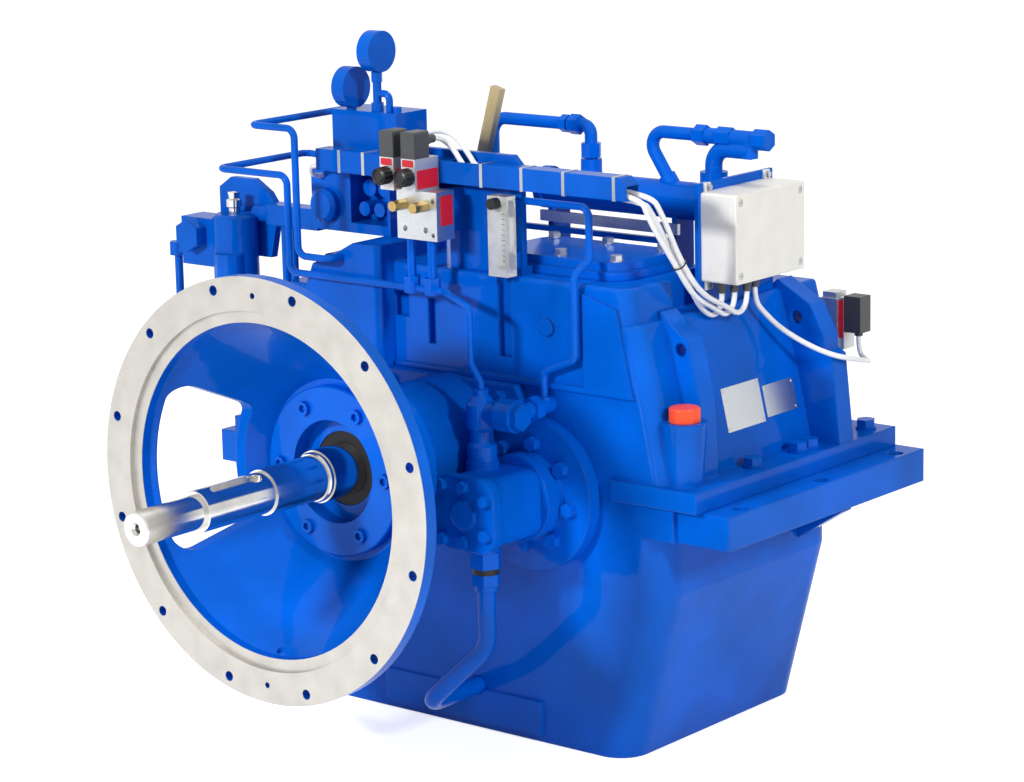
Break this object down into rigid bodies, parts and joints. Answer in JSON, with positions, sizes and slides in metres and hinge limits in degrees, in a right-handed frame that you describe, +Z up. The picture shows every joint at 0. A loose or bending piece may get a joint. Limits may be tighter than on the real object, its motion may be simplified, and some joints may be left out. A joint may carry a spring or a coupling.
{
  "type": "marine gearbox",
  "caption": "Marine reversing gearbox with a windowed bell, stepped keyed input shaft, tapered sump, gear pump, oil cooler, control valve, pipework and mount bars.",
  "frame": {"origin": "centre of the bell flange's front face, on the input shaft's axis", "axes": "-Y points out of the bell to the engine, +X to the right seen from the engine, +Z up"},
  "size_m": [1.0157, 1.157, 0.9515],
  "materials": {
    "blue_paint": "gloss",
    "shaft_steel": "polished",
    "gear_steel": "ground",
    "zinc_steel": "zinc plated",
    "pale_aluminium": "satin",
    "brass": "satin",
    "gold_case": "satin",
    "orange_plastic": "satin",
    "ivory_plastic": "satin",
    "black_plastic": "satin",
    "grey_plastic": "satin",
    "white_plastic": "gloss",
    "black_rubber": "matte",
    "clear_glass": "clear"
  },
  "bodies": {
    "case": {"bell_housing": "blue_paint", "bearing_retainer": "blue_paint", "retainer_screws": "blue_paint", "upper_case": "blue_paint", "lower_case": "blue_paint", "case_bolts": "blue_paint", "mount_bar_right": "blue_paint", "mount_bar_left": "blue_paint", "rear_bearing_covers": "blue_paint", "inspection_cover": "blue_paint", "cover_screws": "zinc_steel", "shaft_bearings": "gear_steel", "shaft_seals": "black_rubber", "pump_adapter": "blue_paint", "pump_body": "blue_paint", "flange_bolts": "blue_paint", "pump_valve": "blue_paint", "suction_fitting": "blue_paint", "suction_pipe": "blue_paint", "bracket_plate": "blue_paint", "cable_duct": "blue_paint", "duct_bands": "zinc_steel", "sight_glass": "clear_glass", "control_valve": "blue_paint", "gauge_fittings": "blue_paint", "pressure_gauges": "blue_paint", "gauge_lenses": "clear_glass", "test_block": "pale_aluminium", "pressure_switches": "white_plastic", "plugs_and_glands": "grey_plastic", "thermometer": "gold_case", "oil_cooler": "blue_paint", "deck_brackets": "blue_paint", "cooler_rail": "pale_aluminium", "cooler_pipes": "blue_paint", "junction_box": "ivory_plastic", "junction_box_lid": "ivory_plastic", "switch_cables": "white_plastic", "rear_switch_cable": "white_plastic", "strainer": "blue_paint", "control_pipes": "blue_paint", "name_plates": "pale_aluminium"},
    "input_line": {"input_shaft": "shaft_steel", "input_gear": "gear_steel", "ahead_clutch": "gear_steel", "ahead_pinion": "gear_steel"},
    "lay_line": {"lay_shaft": "gear_steel", "lay_gear": "gear_steel", "astern_clutch": "gear_steel"},
    "astern_pinion": {"astern_pinion": "gear_steel"},
    "output_line": {"output_shaft": "shaft_steel", "output_wheel": "gear_steel"},
    "filler_cap": {"filler_cap": "orange_plastic"},
    "glass_knob": {"glass_knob": "black_plastic"},
    "flow_float": {"flow_float": "brass"},
    "left_needle": {"left_needle_valve": "brass"},
    "right_needle": {"right_needle_valve": "brass"},
    "upper_pointer": {"upper_gauge_pointer": "black_plastic"},
    "lower_pointer": {"lower_gauge_pointer": "black_plastic"},
    "strainer_knob": {"strainer_knob": "shaft_steel"}
  },
  "joints": [
    {"name": "output_spin", "type": "hinge", "parent": "case", "child": "output_line", "pos_m": [0, 0.6, -0.216], "axis": [0, 1, 0], "continuous": true},
    {"name": "input_spin", "type": "hinge", "parent": "case", "child": "input_line", "pos_m": [0, 0.6, 0], "axis": [0, 1, 0], "continuous": true},
    {"name": "lay_spin", "type": "hinge", "parent": "case", "child": "lay_line", "pos_m": [0.14547, 0.6, -0.05633], "axis": [0, 1, 0], "continuous": true},
    {"name": "astern_pinion_spin", "type": "hinge", "parent": "case", "child": "astern_pinion", "pos_m": [0.14547, 0.6, -0.05633], "axis": [0, 1, 0], "continuous": true},
    {"name": "filler_cap_turn", "type": "hinge", "parent": "case", "child": "filler_cap", "pos_m": [0.368, 0.415, 0.07], "axis": [0, 0, 1], "range_deg": [0, 720]},
    {"name": "glass_knob_turn", "type": "hinge", "parent": "case", "child": "glass_knob", "pos_m": [0.1, 0.36, 0.333], "axis": [0, 1, 0], "range_deg": [0, 270]},
    {"name": "float_slide", "type": "slide", "parent": "case", "child": "flow_float", "axis": [0, 0, 1], "range_m": [0, 0.065]},
    {"name": "left_needle_turn", "type": "hinge", "parent": "case", "child": "left_needle", "pos_m": [-0.034, 0.33, 0.325], "axis": [0, 1, 0], "range_deg": [0, 720]},
    {"name": "right_needle_turn", "type": "hinge", "parent": "case", "child": "right_needle", "pos_m": [0.002, 0.33, 0.325], "axis": [0, 1, 0], "range_deg": [0, 720]},
    {"name": "upper_pointer_turn", "type": "hinge", "parent": "case", "child": "upper_pointer", "pos_m": [-0.17, 0.432, 0.513], "axis": [-1, 0, 0], "range_deg": [0, 270]},
    {"name": "lower_pointer_turn", "type": "hinge", "parent": "case", "child": "lower_pointer", "pos_m": [-0.219, 0.432, 0.461], "axis": [-1, 0, 0], "range_deg": [0, 270]},
    {"name": "strainer_knob_turn", "type": "hinge", "parent": "case", "child": "strainer_knob", "pos_m": [-0.437, 0.42, 0.28], "axis": [0, 0, 1], "continuous": true}
  ],
  "couplings": [
    {"joint": "input_spin", "follows": "output_spin", "ratio": -3},
    {"joint": "lay_spin", "follows": "output_spin", "ratio": 3},
    {"joint": "astern_pinion_spin", "follows": "output_spin", "ratio": -3}
  ]
}
